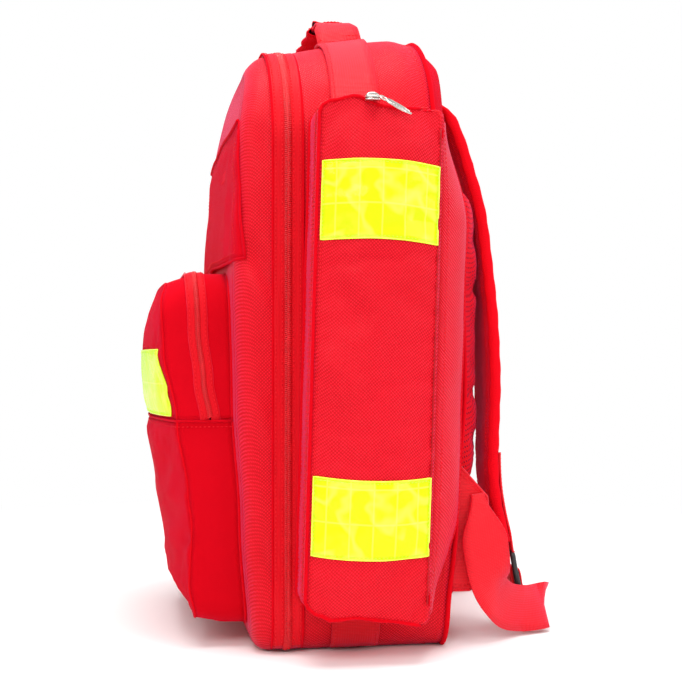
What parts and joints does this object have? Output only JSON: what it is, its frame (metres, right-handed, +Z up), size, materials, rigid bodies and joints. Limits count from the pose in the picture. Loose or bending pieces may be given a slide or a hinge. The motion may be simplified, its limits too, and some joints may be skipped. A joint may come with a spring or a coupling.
{
  "type": "trauma backpack",
  "caption": "Clamshell first-responder backpack with a zipped front lid, front pocket, side pockets, reflective patches, grab handle and padded straps.",
  "frame": {"origin": "on the flat base, under the middle of the main compartment's width, 69 mm behind the plane of the main zip", "axes": "+Z up, -Y out of the front pocket, +Y out of the back and its straps, +X to the wearer's right"},
  "size_m": [0.4348, 0.3314, 0.5217],
  "materials": {
    "honeycomb_fabric": "matte",
    "oxford_fabric": "matte",
    "red_webbing": "satin",
    "padding_fabric": "matte",
    "lining_fabric": "matte",
    "reflective_tape": "gloss",
    "zip_tape": "matte",
    "zip_metal": "satin",
    "black_plastic": "satin",
    "grip_fabric": "matte",
    "stiffener_board": "matte"
  },
  "bodies": {
    "root": {"rear_compartment": "honeycomb_fabric", "main_zip_rear": "zip_tape", "back_board": "stiffener_board", "base_board": "stiffener_board", "divider_upper": "lining_fabric", "divider_lower": "lining_fabric", "instrument_loops": "red_webbing", "back_pad_left": "padding_fabric", "back_pad_right": "padding_fabric", "lumbar_pad": "padding_fabric", "load_webbing_left": "red_webbing", "load_webbing_right": "red_webbing", "side_pocket_left": "honeycomb_fabric", "side_pocket_right": "honeycomb_fabric", "strap_anchor_left": "red_webbing", "strap_anchor_right": "red_webbing", "anchor_wing_left": "red_webbing", "anchor_wing_right": "red_webbing", "lower_webbing_left": "red_webbing", "lower_webbing_right": "red_webbing"},
    "lid": {"front_lid": "honeycomb_fabric", "main_zip_front": "zip_tape", "lid_mesh_pocket": "lining_fabric", "document_sleeve": "oxford_fabric", "front_pocket": "oxford_fabric"},
    "document_flap": {"document_flap": "oxford_fabric"},
    "front_flap": {"front_pocket_flap": "oxford_fabric", "front_tape": "reflective_tape"},
    "front_slider": {"front_slider": "zip_metal"},
    "front_pull": {"front_pull": "zip_metal"},
    "main_slider_upper": {"main_slider_upper": "zip_metal"},
    "main_pull_upper": {"main_pull_upper": "zip_metal"},
    "main_slider_lower": {"main_slider_lower": "zip_metal"},
    "main_pull_lower": {"main_pull_lower": "zip_metal"},
    "handle": {"handle_webbing": "red_webbing", "handle_grip": "grip_fabric"},
    "side_flap_right": {"side_flap_right": "honeycomb_fabric", "side_tape_upper_right": "reflective_tape", "side_tape_lower_right": "reflective_tape"},
    "side_slider_right": {"side_slider_right": "zip_metal"},
    "side_pull_right": {"side_pull_right": "zip_metal"},
    "shoulder_strap_right": {"shoulder_strap_right": "padding_fabric", "webbing_tail_right": "red_webbing"},
    "ladder_lock_right": {"ladder_lock_right": "black_plastic"},
    "side_flap_left": {"side_flap_left": "honeycomb_fabric", "side_tape_upper_left": "reflective_tape", "side_tape_lower_left": "reflective_tape"},
    "side_slider_left": {"side_slider_left": "zip_metal"},
    "side_pull_left": {"side_pull_left": "zip_metal"},
    "shoulder_strap_left": {"shoulder_strap_left": "padding_fabric", "webbing_tail_left": "red_webbing"},
    "ladder_lock_left": {"ladder_lock_left": "black_plastic"}
  },
  "joints": [
    {"name": "lid_opening", "type": "hinge", "parent": "root", "child": "lid", "pos_m": [0, -0.069, 0], "axis": [1, 0, 0], "range_deg": [0, 170]},
    {"name": "document_flap_lift", "type": "hinge", "parent": "lid", "child": "document_flap", "pos_m": [0, -0.1087, 0.4186], "axis": [-1, 0, 0], "range_deg": [0, 150]},
    {"name": "front_flap_opening", "type": "hinge", "parent": "lid", "child": "front_flap", "pos_m": [0, -0.1735, 0.1805], "axis": [1, 0, 0], "range_deg": [0, 120]},
    {"name": "front_slider_travel", "type": "slide", "parent": "front_flap", "child": "front_slider", "axis": [1, 0, 0], "range_m": [0, 0.075]},
    {"name": "front_pull_swing", "type": "hinge", "parent": "front_slider", "child": "front_pull", "pos_m": [-0.0415, -0.137, 0.3088], "axis": [0, 1, 0], "range_deg": [0, 165]},
    {"name": "main_slider_upper_travel", "type": "slide", "parent": "root", "child": "main_slider_upper", "axis": [0, 0, 1], "range_m": [0, 0.07]},
    {"name": "main_slider_lower_travel", "type": "slide", "parent": "root", "child": "main_slider_lower", "axis": [0, 0, -1], "range_m": [0, 0.19]},
    {"name": "main_pull_upper_swing", "type": "hinge", "parent": "main_slider_upper", "child": "main_pull_upper", "pos_m": [-0.1634, -0.069, 0.3115], "axis": [0, 1, 0], "range_deg": [0, 150]},
    {"name": "main_pull_lower_swing", "type": "hinge", "parent": "main_slider_lower", "child": "main_pull_lower", "pos_m": [-0.1634, -0.069, 0.2495], "axis": [0, 1, 0], "range_deg": [0, 150]},
    {"name": "handle_tilt", "type": "hinge", "parent": "root", "child": "handle", "pos_m": [0, -0.012, 0.4995], "axis": [1, 0, 0], "range_deg": [-15, 15]},
    {"name": "side_flap_right_opening", "type": "hinge", "parent": "root", "child": "side_flap_right", "pos_m": [0.2008, 0.03828, 0.22356], "axis": [0, 0.0297, 0.9996], "range_deg": [0, 115]},
    {"name": "side_slider_right_travel", "type": "slide", "parent": "side_flap_right", "child": "side_slider_right", "axis": [0, 0.9996, -0.0297], "range_m": [-0.02, 0.02]},
    {"name": "side_pull_right_swing", "type": "hinge", "parent": "side_slider_right", "child": "side_pull_right", "pos_m": [0.2168, -0.00869, 0.42754], "axis": [0, -0.4648, -0.8854], "range_deg": [0, 120]},
    {"name": "shoulder_strap_right_swing", "type": "hinge", "parent": "root", "child": "shoulder_strap_right", "pos_m": [0.058, 0.072, 0.439], "axis": [1, 0, 0], "range_deg": [0, 14]},
    {"name": "ladder_lock_right_swing", "type": "hinge", "parent": "shoulder_strap_right", "child": "ladder_lock_right", "pos_m": [0.09, 0.1255, 0.0665], "axis": [1, 0, 0], "range_deg": [-14, 4]},
    {"name": "side_flap_left_opening", "type": "hinge", "parent": "root", "child": "side_flap_left", "pos_m": [-0.2008, 0.03828, 0.22356], "axis": [0, -0.0297, -0.9996], "range_deg": [0, 115]},
    {"name": "side_slider_left_travel", "type": "slide", "parent": "side_flap_left", "child": "side_slider_left", "axis": [0, 0.9996, -0.0297], "range_m": [-0.02, 0.02]},
    {"name": "side_pull_left_swing", "type": "hinge", "parent": "side_slider_left", "child": "side_pull_left", "pos_m": [-0.2168, -0.00869, 0.42754], "axis": [0, 0.4648, 0.8854], "range_deg": [0, 120]},
    {"name": "shoulder_strap_left_swing", "type": "hinge", "parent": "root", "child": "shoulder_strap_left", "pos_m": [-0.058, 0.072, 0.439], "axis": [1, 0, 0], "range_deg": [0, 14]},
    {"name": "ladder_lock_left_swing", "type": "hinge", "parent": "shoulder_strap_left", "child": "ladder_lock_left", "pos_m": [-0.09, 0.1255, 0.0665], "axis": [1, 0, 0], "range_deg": [-14, 4]}
  ]
}
